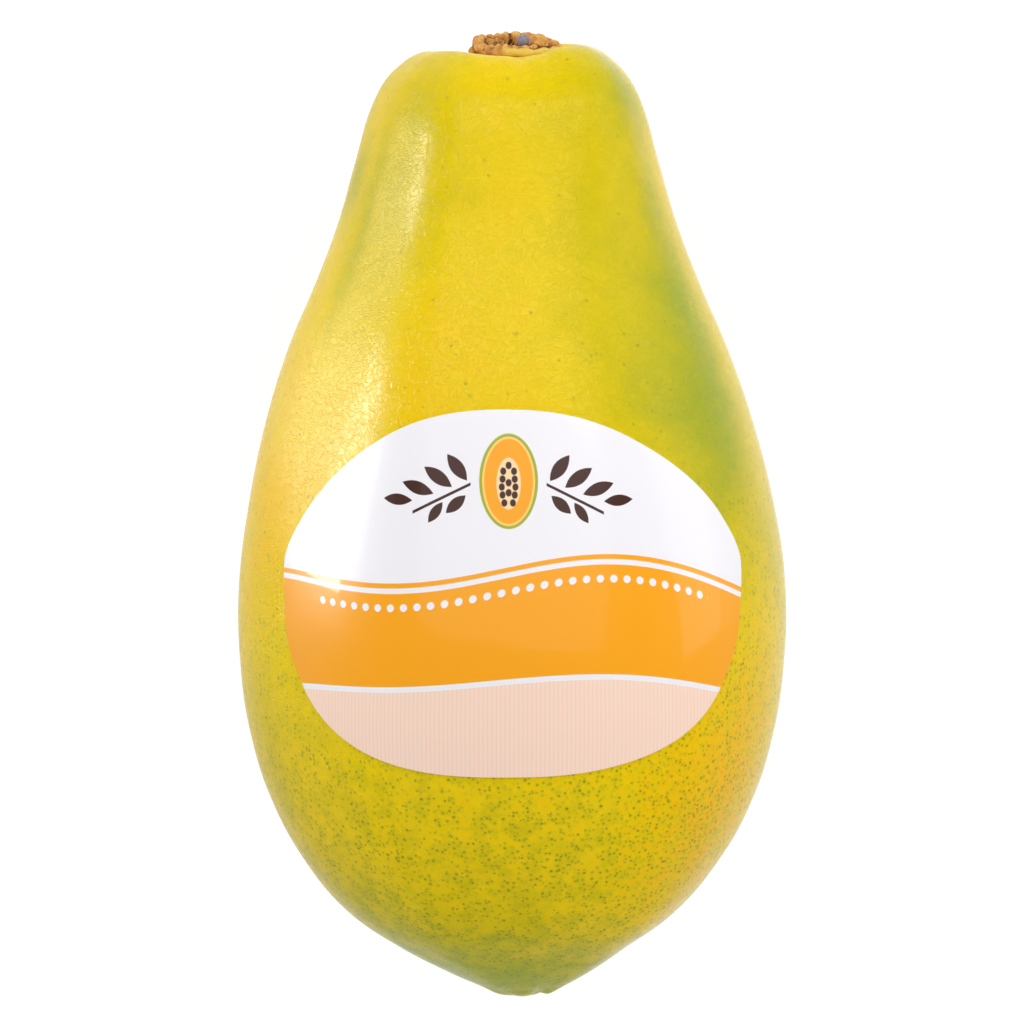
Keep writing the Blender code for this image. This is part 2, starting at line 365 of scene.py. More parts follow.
def mixed(tree, share, first, second, blend="MIX"):
    made = add(tree, "ShaderNodeMix", data_type="RGBA", blend_type=blend)
    for socket, value in ((0, share), (6, first), (7, second)):
        if isinstance(value, bpy.types.NodeSocket):
            tree.links.new(value, made.inputs[socket])
        elif socket:
            made.inputs[socket].default_value = (*value, 1.0)
        else:
            made.inputs[socket].default_value = value
    return made.outputs[2]


def ramp(tree, value, stops):
    """A colour that runs through the stops, each (place, colour)."""
    made = add(tree, "ShaderNodeValToRGB", {0: value})
    elements = made.color_ramp.elements
    while len(elements) < len(stops):
        elements.new(1.0)
    for element, (place, colour) in zip(elements, stops):
        element.position = place
        element.color = (*colour, 1.0)
    return made.outputs[0]


def moved(tree, vector, place, turn=0, size=(1.0, 1.0)):
    """The vector seen from a place, turned by so many degrees and measured in that size."""
    inputs = {
        "Vector": vector,
        "Location": (*place, 0),
        "Rotation": (0, 0, math.radians(turn)),
        "Scale": (*size, 1.0),
    }
    return add(tree, "ShaderNodeMapping", inputs, vector_type="TEXTURE").outputs[0]


def oval(tree, vector, place, size, edges, turn=0):
    """1 in the middle of an oval, 0 outside it. Its edges are shares of its half width and half height."""
    reach = add(tree, "ShaderNodeVectorMath", {0: moved(tree, vector, place, turn, size)}, operation="LENGTH")
    return between(tree, reach.outputs["Value"], *edges)


def stored(tree, name):
    return add(tree, "ShaderNodeAttribute", attribute_name=name).outputs["Fac"]


def new_material(name, **values):
    """A material with its Principled shader set to the values, by socket name."""
    material = bpy.data.materials.new(name)
    material.use_nodes = True
    tree = material.node_tree
    shader = tree.nodes["Principled BSDF"]
    for socket, value in values.items():
        shader.inputs[socket.replace("_", " ")].default_value = value
    return material, tree, shader


def grain_group():
    """Cloudy grain of a given size in mm, from 0 to 1, shared by the materials."""
    group = bpy.data.node_groups.get("Grain")
    if group:
        return group
    group = bpy.data.node_groups.new("Grain", "ShaderNodeTree")
    size = group.interface.new_socket("Size", in_out="INPUT", socket_type="NodeSocketFloat")
    size.default_value = 1.0
    stretch = group.interface.new_socket("Stretch", in_out="INPUT", socket_type="NodeSocketVector")
    stretch.default_value = (1.0, 1.0, 1.0)
    group.interface.new_socket("Grain", in_out="OUTPUT", socket_type="NodeSocketFloat")
    inputs = group.nodes.new("NodeGroupInput")
    outputs = group.nodes.new("NodeGroupOutput")
    place = add(group, "ShaderNodeTexCoord").outputs["Object"]
    sockets = {0: place, 1: inputs.outputs["Stretch"]}
    stretched = add(group, "ShaderNodeVectorMath", sockets, operation="MULTIPLY")
    scale = maths(group, "DIVIDE", 1 / MM, inputs.outputs["Size"])
    clouds = add(
        group,
        "ShaderNodeTexNoise",
        {"Vector": stretched.outputs[0], "Scale": scale, "Detail": 3.0, "Roughness": 0.55},
    )
    group.links.new(clouds.outputs[0], outputs.inputs["Grain"])
    return group


def grain(tree, size, stretch=(1.0, 1.0, 1.0)):
    made = add(tree, "ShaderNodeGroup", node_tree=grain_group())
    made.inputs["Size"].default_value = size
    made.inputs["Stretch"].default_value = stretch
    return made.outputs["Grain"]


def bump(tree, height, depth, strength=1.0, under=None):
    """Turns heights from 0 to 1 into a relief of that depth in mm."""
    inputs = {"Height": height, "Distance": depth * MM, "Strength": strength}
    if under is not None:
        inputs["Normal"] = under
    return add(tree, "ShaderNodeBump", inputs).outputs["Normal"]


# The fruit


class FruitSettings(bpy.types.PropertyGroup):
    """Mesh and skin of the fruit."""

    turn_steps: bpy.props.IntProperty(
        name="Turn steps", description="Faces round the fruit", default=180, min=24
    )
    outline_steps: bpy.props.IntProperty(
        name="Outline steps", description="Faces between two points of the outline", default=6, min=2
    )
    unripe: bpy.props.FloatVectorProperty(
        name="Unripe", description="Skin still green", subtype="COLOR", default=linear(163, 172, 34)
    )
    turning: bpy.props.FloatVectorProperty(
        name="Turning",
        description="Skin between green and yellow",
        subtype="COLOR",
        default=linear(209, 191, 2),
    )
    ripe: bpy.props.FloatVectorProperty(
        name="Ripe", description="Yellow skin", subtype="COLOR", default=linear(238, 206, 0)
    )
    golden: bpy.props.FloatVectorProperty(
        name="Golden", description="Skin at its ripest", subtype="COLOR", default=linear(253, 194, 0)
    )
    speckle: bpy.props.FloatVectorProperty(
        name="Speckle", description="Dark dots in the skin", subtype="COLOR", default=linear(88, 98, 22)
    )
    dry_tip: bpy.props.FloatVectorProperty(
        name="Dry tip",
        description="Where the blossom was",
        subtype="COLOR",
        default=linear(122, 100, 48),
    )
    speckle_spacing: bpy.props.FloatProperty(
        name="Speckle spacing",
        description="Spacing of the dots' seeds",
        subtype="DISTANCE",
        default=0.66 * MM,
    )
    roughness: bpy.props.FloatProperty(
        name="Roughness",
        description="Roughness of the waxy skin",
        subtype="FACTOR",
        default=0.21,
        min=0,
        max=1,
    )


def turned_outline(name, outline, outline_steps, turn_steps):
    """A smooth curve through the outline's points, spun round the axis."""
    deselect_all()
    bpy.ops.curve.primitive_bezier_curve_add(location=(0, 0, 0))
    piece = name_piece(name)
    piece.data.resolution_u = outline_steps
    spline = piece.data.splines[0]
    spline.bezier_points.add(len(outline) - len(spline.bezier_points))
    for point, (radius, height) in zip(spline.bezier_points, outline):
        point.co = (radius * MM, 0, height * MM)
        point.handle_left_type = point.handle_right_type = "AUTO"
    bpy.ops.object.convert(target="MESH")
    edit()
    bpy.ops.mesh.spin(steps=turn_steps, angle=2 * math.pi, center=(0, 0, 0), axis=(0, 0, 1))
    tidy_mesh()
    leave_edit()
    return piece


def sink_socket(piece):
    """Presses in the middle of the stem seat, where the scar's root goes."""
    edit("DESELECT")
    mesh = bmesh.from_edit_mesh(piece.data)
    for face in mesh.faces:
        centre = face.calc_center_median() / MM
        face.select = math.hypot(centre.x, centre.y) < SOCKET_RADIUS and centre.z > SEAT_HEIGHT - 1
    bmesh.update_edit_mesh(piece.data)
    bpy.ops.mesh.extrude_region_move(TRANSFORM_OT_translate={"value": (0, 0, -SOCKET_DEPTH * MM)})
    leave_edit()


def slice_flat_spot(piece):
    """Takes a thin cap off its underside and closes it with one flat face."""
    down = laid_rotation().to_3x3().inverted() @ Vector((0, 0, -1))
    lowest = max(vertex.co.dot(down) for vertex in piece.data.vertices)
    edit()
    bpy.ops.mesh.bisect(
        plane_co=down * (lowest - FLAT_DEPTH * MM),
        plane_no=down,
        use_fill=True,
        clear_outer=True,
        threshold=WELD,
    )
    leave_edit()


def mark_skin(mesh):
    """Stores how ripe and how speckled the skin is at each point."""
    x, y, heights = read_points(mesh).T
    angles = np.arctan2(x, -y)
    ripeness = np.full_like(heights, RIPENESS)
    for angle, height, half_angle, half_height, change in RIPE_PATCHES:
        ripeness += change * patch(angles, heights, angle, height, half_angle, half_height)
    ripeness += BLOSSOM_GREEN * (1 - smooth_step(*BLOSSOM_GREEN_HEIGHTS, heights))
    write_values(mesh, "ripeness", ripeness)
    speckles = eased(heights, SPECKLE_DENSITY)
    speckles *= 1 - THIN_SPECKLES * patch(angles, heights, *THIN_SPECKLES_PLACE)
    write_values(mesh, "speckles", speckles)
    tip = (1 - smooth_step(*DRY_TIP_RADII, np.hypot(x, y))) * (heights < TIP_FOLD_RADIUS)
    write_values(mesh, "tip", tip)


def wrinkles(tree, place):
    """Fine creases in the skin: 1 between them and 0 in a crease."""
    threads = add(
        tree,
        "ShaderNodeTexNoise",
        {"Vector": place, "Scale": 1 / (WRINKLE_SIZE * MM), "Detail": 2.0, "Distortion": 1.2},
    )
    gap = maths(tree, "ABSOLUTE", maths(tree, "SUBTRACT", threads.outputs[0], 0.5))
    return between(tree, gap, 0.0, 0.06)


def skin_material(settings):
    material, tree, shader = new_material("papaya skin", Specular_IOR_Level=0.16)
    ripeness = stored(tree, "ripeness")
    for size, share in (CLOUDS, MOTTLE):
        drift = maths(tree, "SUBTRACT", grain(tree, size), 0.5)
        ripeness = maths(tree, "ADD", ripeness, times(tree, drift, share))

    density = stored(tree, "speckles")
    flock = between(tree, grain(tree, FLOCK_SIZE), *FLOCK_EDGES)
    green_flock = times(tree, times(tree, flock, density), FLOCK_GREEN)
    ripeness = maths(tree, "SUBTRACT", ripeness, green_flock, clamp=True)
    stops = (
        (0.0, settings.unripe),
        (0.32, settings.turning),
        (0.62, settings.ripe),
        (1.0, settings.golden),
    )
    colour = ramp(tree, ripeness, stops)

    place = add(tree, "ShaderNodeTexCoord").outputs["Object"]
    cells = add(
        tree,
        "ShaderNodeTexVoronoi",
        {"Vector": place, "Scale": 1 / settings.speckle_spacing, "Randomness": 1.0},
    )
    pick = add(tree, "ShaderNodeSeparateColor", {0: cells.outputs["Color"]})
    flocked = times(tree, density, rescaled(tree, flock, *FLOCK_SHARES))
    chosen = maths(tree, "LESS_THAN", pick.outputs[0], flocked)
    radius = rescaled(tree, pick.outputs[1], *DOT_RADII)
    reach = maths(tree, "DIVIDE", cells.outputs["Distance"], radius)
    dots = times(tree, between(tree, reach, 1.3, 0.45), chosen)
    halos = times(tree, between(tree, reach, 2.6, 0.8), chosen)
    colour = mixed(tree, times(tree, halos, HALO_DEPTH), colour, settings.unripe)
    depth = rescaled(tree, pick.outputs[2], *DOT_DEPTHS)
    depth = times(tree, depth, rescaled(tree, density, LONE_DOT_DEPTH, 1.0))
    colour = mixed(tree, times(tree, dots, depth), colour, settings.speckle)
    dry = times(tree, stored(tree, "tip"), rescaled(tree, grain(tree, 0.8), 0.4, 1.1))
    colour = mixed(tree, dry, colour, settings.dry_tip)
    tree.links.new(colour, shader.inputs["Base Color"])

    wax = rescaled(tree, grain(tree, 7.0), settings.roughness - 0.05, settings.roughness + 0.07)
    tree.links.new(wax, shader.inputs["Roughness"])
    waves = bump(tree, grain(tree, 5.5), 0.10, 0.6)
    pores = bump(tree, grain(tree, 0.55, (1.0, 0.55, 1.0)), 0.035, 0.55, waves)
    wrinkled = bump(tree, wrinkles(tree, place), 0.04, 0.8, pores)
    tree.links.new(bump(tree, dots, 0.03, 0.4, wrinkled), shader.inputs["Normal"])
    return material


class PAPAYA_OT_fruit(bpy.types.Operator):
    """Models the whole fruit, with its ribs, hollows, puckered tip and flat spot"""

    bl_idname = "papaya.fruit"
    bl_label = "Fruit"

    def execute(self, context):
        settings = context.scene.papaya_fruit
        fruit = turned_outline("papaya_fruit", OUTLINE, settings.outline_steps, settings.turn_steps)
        sink_socket(fruit)
        write_points(fruit.data, grown(read_points(fruit.data)))
        slice_flat_spot(fruit)
        mark_skin(fruit.data)
        make_active(fruit)
        bpy.ops.object.shade_smooth_by_angle(angle=math.radians(50))
        fruit.data.materials.append(skin_material(settings))
        return {"FINISHED"}


# The stem scar


class ScarSettings(bpy.types.PropertyGroup):
    """Shape and colours of the corky scar."""

    offset: bpy.props.FloatProperty(
        name="Offset",
        description="How far left of the axis it sits",
        subtype="DISTANCE",
        default=-0.3 * MM,
    )
    fineness: bpy.props.FloatProperty(
        name="Fineness", description="Face size of the cork", subtype="DISTANCE", default=0.11 * MM
    )
    cork: bpy.props.FloatVectorProperty(
        name="Cork", description="Dry cork on the knobs", subtype="COLOR", default=linear(226, 172, 94)
    )
    # Painted shade: the colour the cork darkens to in its crevices and inside the cup
    painted_crevice_shade: bpy.props.FloatVectorProperty(
        name="Crevice",
        description="Dark cork between the knobs",
        subtype="COLOR",
        default=linear(116, 66, 22),
    )
    bloom: bpy.props.FloatVectorProperty(
        name="Bloom", description="Grey dried sap", subtype="COLOR", default=linear(130, 132, 148)
    )
    fresh: bpy.props.FloatVectorProperty(
        name="Fresh",
        description="Pale yellow edge of the scar",
        subtype="COLOR",
        default=linear(232, 200, 84),
    )


ROOT_RADIUS = 3.2
ROOT_DEPTH = 3.4
# Half outline of the cup that the rim grows on, (radius, height) in mm above the seat
CUP = ((0.0, 0.3), (5.15, 0.3), (5.0, 1.7), (4.7, 1.7), (3.6, 0.95), (0.0, 0.85))
# Knobbly rings round the cup: radius, tube, knobs, shift to the right and height in mm, lean in degrees
RIM = (4.85, 0.76, 22, 0.0, 1.85, 10)
COLLAR = (5.5, 0.60, 14, 0.9, 1.1, 3)
# Lobes of the rim and broken ends of the stem's fibres inside it: (x, y, height, radius) in mm
LOBES = (
    (3.9, -2.4, 2.05, 1.45),
    (6.0, -0.5, 1.45, 1.15),
    (1.8, 0.1, 2.05, 1.35),
    (-3.4, 2.9, 1.7, 1.05),
    (-5.7, -0.3, 0.95, 0.62),
    (0.6, 4.5, 2.75, 0.95),
    (2.4, 4.2, 2.7, 0.85),
    (-1.6, 4.6, 2.5, 0.8),
)
# Curled fibres in the cup: where round it, how far out, how long, how wide, all in mm but the angles
FLAKES = 13
FLAKE_SEED = 4
FLAKE_TURNS = (0.35 * math.pi, 1.15 * math.pi)
FLAKE_REACH = (1.0, 3.3)
FLAKE_LENGTHS = (1.2, 2.0)
FLAKE_RADII = (0.45, 0.75)
FLAKE_TIP = 0.12
FLAKE_FLATNESS = 0.26
FLAKE_TILT = 0.6
FOLD_DEPTH = 0.13
# Painted shade of the cork: rounds of smoothing for narrow and broad crevices, share of the broad ones, and
# the painted shade in the cup
NARROW_ROUNDS = 10
BROAD_ROUNDS = 60
BROAD_SHARE = 0.35
CUP_PAINTED_SHADE = 0.10
# The pale yellow edge: where it begins outwards, downwards and to the right, in mm, and its strength
FRESH_OUT = (5.0, 5.5)
FRESH_DOWN = (1.2, 1.8)
FRESH_RIGHT = (-2.5, 0.5)
FRESH_SHARE = 0.85
# The grey patch of dried sap: its middle and radius in mm
BLOOM_PLACE = (1.7, -1.0, 2.6)
BLOOM_RADIUS = 1.25


def knobbly_ring(radius, tube, knobs, shift, height, lean):
    """A torus whose tube swells and shrinks into knobs. Its front hangs lower by the lean."""
    deselect_all()
    bpy.ops.mesh.primitive_torus_add(
        major_radius=radius * MM, minor_radius=tube * MM, major_segments=204, minor_segments=20
    )
    ring = bpy.context.object
    for vertex in ring.data.vertices:
        turn = math.atan2(vertex.co.y, vertex.co.x)
        spine = Vector((math.cos(turn), math.sin(turn), 0)) * radius * MM
        swell = 1 + 0.17 * math.cos(knobs * turn + 1.1 * math.sin(3 * turn))
        swell += 0.10 * math.cos(4 * turn + 0.7) + 0.07 * math.cos(7 * turn)
        wander = 1 + 0.045 * math.cos(2 * turn + 0.6) + 0.035 * math.cos(5 * turn)
        vertex.co = spine * wander + (vertex.co - spine) * swell
        vertex.co.z += height * MM + vertex.co.y * math.tan(math.radians(lean))
        vertex.co.x += shift * MM
    return ring


def lobe(x, y, height, radius):
    deselect_all()
    bpy.ops.mesh.primitive_ico_sphere_add(
        subdivisions=4, radius=radius * MM, location=(x * MM, y * MM, height * MM)
    )
    return bpy.context.object


def flake(rolls):
    """A thin curled splinter of dried fibre that stands in the cup."""
    turn = rolls.uniform(*FLAKE_TURNS)
    out = rolls.uniform(*FLAKE_REACH)
    length = rolls.uniform(*FLAKE_LENGTHS)
    deselect_all()
    bpy.ops.mesh.primitive_cone_add(
        vertices=10, radius1=rolls.uniform(*FLAKE_RADII) * MM, radius2=FLAKE_TIP * MM, depth=length * MM
    )
    piece = bpy.context.object
    piece.scale = (1.0, FLAKE_FLATNESS, 1.0)
    tilts = [rolls.uniform(-FLAKE_TILT, FLAKE_TILT) for _ in range(2)]
    piece.rotation_euler = Euler((*tilts, turn))
    piece.location = (out * math.cos(turn) * MM, out * math.sin(turn) * MM, (1.4 + length / 3) * MM)
    return piece


def root_plug():
    deselect_all()
    top = CUP[-1][1] / 2
    bpy.ops.mesh.primitive_cylinder_add(
        vertices=48,
        radius=ROOT_RADIUS * MM,
        depth=(ROOT_DEPTH + top) * MM,
        location=(0, 0, (top - ROOT_DEPTH) / 2 * MM),
    )
    return bpy.context.object


def roughen_cork(piece):
    """Folds the cork's surface with fine noise."""
    mesh = piece.data
    folds = np.empty(len(mesh.vertices))
    for vertex in mesh.vertices:
        place = vertex.co / MM
        broad = noise.noise(place * 0.9)
        fold = 1 - abs(noise.noise(place * 1.7 + Vector((broad, 0, 3.1))) * 2)
        fine = noise.noise(place * 5.3)
        folds[vertex.index] = 0.62 * fold + 0.14 * fine + 0.12 * broad
    above_seat = smooth_step(0.2, 1.2, read_points(mesh)[:, 2])
    push = (folds - 0.62) * FOLD_DEPTH * above_seat
    write_points(mesh, read_points(mesh) + read_vectors(mesh, "normal") * push[:, None])


def crevice_shade_depths(mesh, rounds):
    """How far each point lies below the smoothed surface round it, in mm along its normal, used to paint
    shade into the crevices.
    """
    count = len(mesh.edges)
    ends = np.empty(count * 2, np.int32)
    mesh.edges.foreach_get("vertices", ends)
    ends = ends.reshape(-1, 2)
    points = read_points(mesh)
    links = np.bincount(ends.ravel(), minlength=len(points))[:, None]
    smoothed = points
    for _ in range(rounds):
        total = np.zeros_like(points)
        np.add.at(total, ends[:, 0], smoothed[ends[:, 1]])
        np.add.at(total, ends[:, 1], smoothed[ends[:, 0]])
        smoothed = (smoothed + total / links) / 2
    return ((smoothed - points) * read_vectors(mesh, "normal")).sum(axis=1)


def cork_material(settings):
    material, tree, shader = new_material("dry cork", Roughness=0.8, Specular_IOR_Level=0.3)
    # Painted shade: the cork darkens towards the crevice colour where it lies below its smoothed surface and
    # inside the cup
    drift = times(tree, maths(tree, "SUBTRACT", grain(tree, 0.5), 0.5), 0.08)
    depth = maths(tree, "ADD", stored(tree, "painted_crevice_shade"), drift)
    shade = between(tree, depth, -0.04, 0.11)
    pale = mixed(tree, between(tree, grain(tree, 1.4), 0.4, 0.62), settings.cork, linear(196, 136, 64))
    colour = mixed(tree, shade, pale, settings.painted_crevice_shade)
    bloomed = times(tree, stored(tree, "bloom"), between(tree, grain(tree, 0.45), 0.30, 0.46))
    colour = mixed(tree, bloomed, colour, settings.bloom)
    colour = mixed(tree, stored(tree, "fresh"), colour, settings.fresh)
    tree.links.new(colour, shader.inputs["Base Color"])
    tree.links.new(rescaled(tree, grain(tree, 0.8), 0.62, 0.92), shader.inputs["Roughness"])
    fibres = bump(tree, grain(tree, 0.35, (1.0, 1.0, 0.35)), 0.06, 0.8)
    tree.links.new(bump(tree, grain(tree, 0.12), 0.02, 0.8, fibres), shader.inputs["Normal"])
    return material


class PAPAYA_OT_stem_scar(bpy.types.Operator):
    """Models the corky rim, collar, lobes, fibres and root of the stem scar"""

    bl_idname = "papaya.stem_scar"
    bl_label = "Stem scar"

    def execute(self, context):
        settings = context.scene.papaya_scar
        rolls = random.Random(FLAKE_SEED)
        pieces = [turned_outline("cup", CUP, 1, 90), root_plug()]
        pieces += [knobbly_ring(*RIM), knobbly_ring(*COLLAR)]
        pieces += [lobe(*place) for place in LOBES]
        pieces += [flake(rolls) for _ in range(FLAKES)]
        deselect_all()
        for piece in pieces:
            piece.select_set(True)
        context.view_layer.objects.active = pieces[0]
        bpy.ops.object.join()
        scar = name_piece("papaya_stem_scar")
        bpy.ops.object.transform_apply(location=True, rotation=True, scale=True)
        scar.data.remesh_voxel_size = settings.fineness
        bpy.ops.object.voxel_remesh()
        roughen_cork(scar)
        apply_modifier(scar, "SMOOTH", factor=0.5, iterations=2)
        x, y, heights = read_points(scar.data).T
        # Painted shade: darker towards the bottom of the cup inside the rim, added to the crevices' depths
        hollow = (1 - smooth_step(1.2, 2.9, heights)) * (1 - smooth_step(3.9, 4.6, np.hypot(x, y)))
        painted_shade_depths = crevice_shade_depths(scar.data, NARROW_ROUNDS) + BROAD_SHARE * crevice_shade_depths(scar.data, BROAD_ROUNDS)
        painted_shade_depths += CUP_PAINTED_SHADE * hollow
        write_values(scar.data, "painted_crevice_shade", painted_shade_depths)
        near = np.linalg.norm(read_points(scar.data) - BLOOM_PLACE, axis=1)
        write_values(scar.data, "bloom", 1 - smooth_step(BLOOM_RADIUS * 0.6, BLOOM_RADIUS, near))
        outer = smooth_step(*FRESH_OUT, np.hypot(x - COLLAR[3], y)) * (1 - smooth_step(*FRESH_DOWN, heights))
        write_values(scar.data, "fresh", FRESH_SHARE * outer * smooth_step(*FRESH_RIGHT, x))
        scar.data.transform(Matrix.Translation((settings.offset, 0, SEAT_HEIGHT * MM)))
        bpy.ops.object.shade_smooth()
        scar.data.materials.clear()
        scar.data.materials.append(cork_material(settings))
        return {"FINISHED"}


# The sticker


class StickerSettings(bpy.types.PropertyGroup):
    """Size and print of the fruit sticker."""

    height_on_fruit: bpy.props.FloatProperty(
        name="Height on the fruit",
        description="Its middle, above the blossom tip",
        subtype="DISTANCE",
        default=66.3 * MM,
    )
    half_width: bpy.props.FloatProperty(
        name="Half width", description="Flat half width", subtype="DISTANCE", default=38.0 * MM
    )
    reach_up: bpy.props.FloatProperty(
        name="Reach up", description="From the middle to the top", subtype="DISTANCE", default=22.7 * MM
    )
    reach_down: bpy.props.FloatProperty(
        name="Reach down",
        description="From the middle to the bottom",
        subtype="DISTANCE",
        default=29.3 * MM,
    )
    thickness: bpy.props.FloatProperty(
        name="Thickness", description="Thickness of the film", subtype="DISTANCE", default=0.16 * MM
    )
    paper: bpy.props.FloatVectorProperty(
        name="Paper", description="Unprinted film", subtype="COLOR", default=linear(246, 244, 248)
    )
    band: bpy.props.FloatVectorProperty(
        name="Band", description="Printed band", subtype="COLOR", default=linear(255, 170, 26)
    )
    lower: bpy.props.FloatVectorProperty(
        name="Lower field",
        description="Printed lower field",
        subtype="COLOR",
        default=linear(255, 224, 204),
    )
    ink: bpy.props.FloatVectorProperty(
        name="Ink", description="Dark print", subtype="COLOR", default=linear(70, 38, 30)
    )


STICKER_SHIFT = -0.7
# Power of the rounded outline: 2 is an ellipse, less is more pointed, more is squarer
STICKER_TOP_ROUNDNESS = 2.0
STICKER_SIDE_ROUNDNESS = 1.5
STICKER_LOWER_ROUNDNESS = 2.5
STICKER_COLUMNS = 156
STICKER_ROWS = 112
STICKER_LIFT = 0.05
# Side in mm of the square that the sheet's flat map fills
STICKER_MAP = 80.0
# How much wider than the fruit the sheet is bent before it shrinks on
STICKER_SLACK = 1.02


def sticker_reach(settings, angle):
    """How far the sticker's edge is from its middle, at an angle counted from its right."""
    across, up = abs(math.cos(angle)), math.sin(angle)
    height, power = settings.reach_down, STICKER_LOWER_ROUNDNESS
    if up > 0:
        height = settings.reach_up
        power = STICKER_TOP_ROUNDNESS + (STICKER_SIDE_ROUNDNESS - STICKER_TOP_ROUNDNESS) * across
    return ((across / settings.half_width) ** power + (abs(up) / height) ** power) ** (-1 / power)


def bend_sheet(settings, mesh):
    """Cuts the flat grid to the sticker's outline, maps it in flat mm and bends it round the belly."""
    radii, heights = zip(*((r * MM, h * MM) for r, h in reversed(OUTLINE)))
    flat = []
    for vertex in mesh.vertices:
        across, up = vertex.co.x, vertex.co.y
        disc = Vector((across * math.sqrt(1 - up * up / 2), up * math.sqrt(1 - across * across / 2)))
        turn = math.atan2(disc.y, disc.x)
        place = Vector((math.cos(turn), math.sin(turn))) * disc.length * sticker_reach(settings, turn)
        flat.append(place / MM / STICKER_MAP + Vector((0.5, 0.5)))
        height = settings.height_on_fruit + place.y
        radius = float(np.interp(height, heights, radii))
        angle = (STICKER_SHIFT * MM + place.x) / radius
        bent = radius * STICKER_SLACK
        vertex.co = (bent * math.sin(angle), -bent * math.cos(angle), height)
    sheet_map = mesh.uv_layers.new(name="flat").data
    for loop in mesh.loops:
        sheet_map[loop.index].uv = flat[loop.vertex_index]


def leaf(tree, place, x, y, turn, length, width):
    """1 inside a pointed leaf whose middle is at x, y in mm."""
    parts = add(tree, "ShaderNodeSeparateXYZ", {0: moved(tree, place, (x, y), turn)})
    along = maths(tree, "DIVIDE", parts.outputs[0], length / 2)
    profile = maths(tree, "SUBTRACT", 1.0, maths(tree, "POWER", maths(tree, "ABSOLUTE", along), 2.0))
    edge = times(tree, profile, width / 2)
    inside = maths(tree, "SUBTRACT", edge, maths(tree, "ABSOLUTE", parts.outputs[1]))
    return between(tree, inside, -0.03, 0.06)


def printed_oval(tree, vector, place, size):
    soft = 0.06 / size[0]
    return oval(tree, vector, place, size, (1 + soft, 1 - soft))


def strip(tree, value, low, high, soft=0.05):
    """1 where the value is between low and high."""
    from_low = between(tree, value, low - soft, low + soft)
    return times(tree, from_low, between(tree, value, high + soft, high - soft))


def either(tree, *masks):
    result = masks[0]
    for mask in masks[1:]:
        result = maths(tree, "MAXIMUM", result, mask)
    return result


# The print, in mm: the band's top and bottom, the line above it, the lower field's top, the beads
BAND_TOP = -0.6
BAND_BOTTOM = -15.0
BAND_LINE = (0.15, 0.85)
LOWER_TOP = -15.8
PRINT_SOFT = 0.05
RULING_STEP = 0.62
BEADS_DOWN = 2.6
BEAD_RADII = (0.60, 0.50)
BEADS_REACH = (30.6, 30.4)
# Sprigs beside the halved fruit: leaves (x, y, turn in degrees, length, width) in mm, mirrored to the left
SPRIG_LEAVES = (
    (7.2, 14.6, 52, 4.6, 1.9),
    (9.9, 13.2, 34, 4.8, 1.9),
    (12.8, 11.6, 18, 4.8, 1.8),
    (15.8, 9.9, 2, 4.4, 1.6),
    (7.4, 9.5, -42, 3.8, 1.6),
    (10.3, 8.3, -54, 3.6, 1.4),
)
# Their stalks: height at the middle, fall per mm outwards, half width, and from where to where they run
STALK_START = 15.0
STALK_FALL = 0.5
STALK_HALF_WIDTH = 0.22
STALK_REACH = (5.3, 13.6)
# The halved fruit: middle height, half width and half height of its skin, the skin's and the rind's insets,
# the seed hollow's drop, half width and half height, and the seeds, in mm
HALF_FRUIT = (12.8, 4.1, 6.6)
HALF_FRUIT_INSETS = (0.4, 0.7)
HALF_FRUIT_HOLLOW = (0.3, 1.7, 3.6)
HALF_FRUIT_SEED = (0.42, 0.52)
HALF_FRUIT_SEEDS = (
    (0.0, 15.0),
    (0.75, 14.2),
    (0.85, 13.1),
    (0.95, 12.0),
    (0.85, 10.9),
    (0.6, 9.8),
    (0.0, 12.6),
    (0.0, 11.2),
)


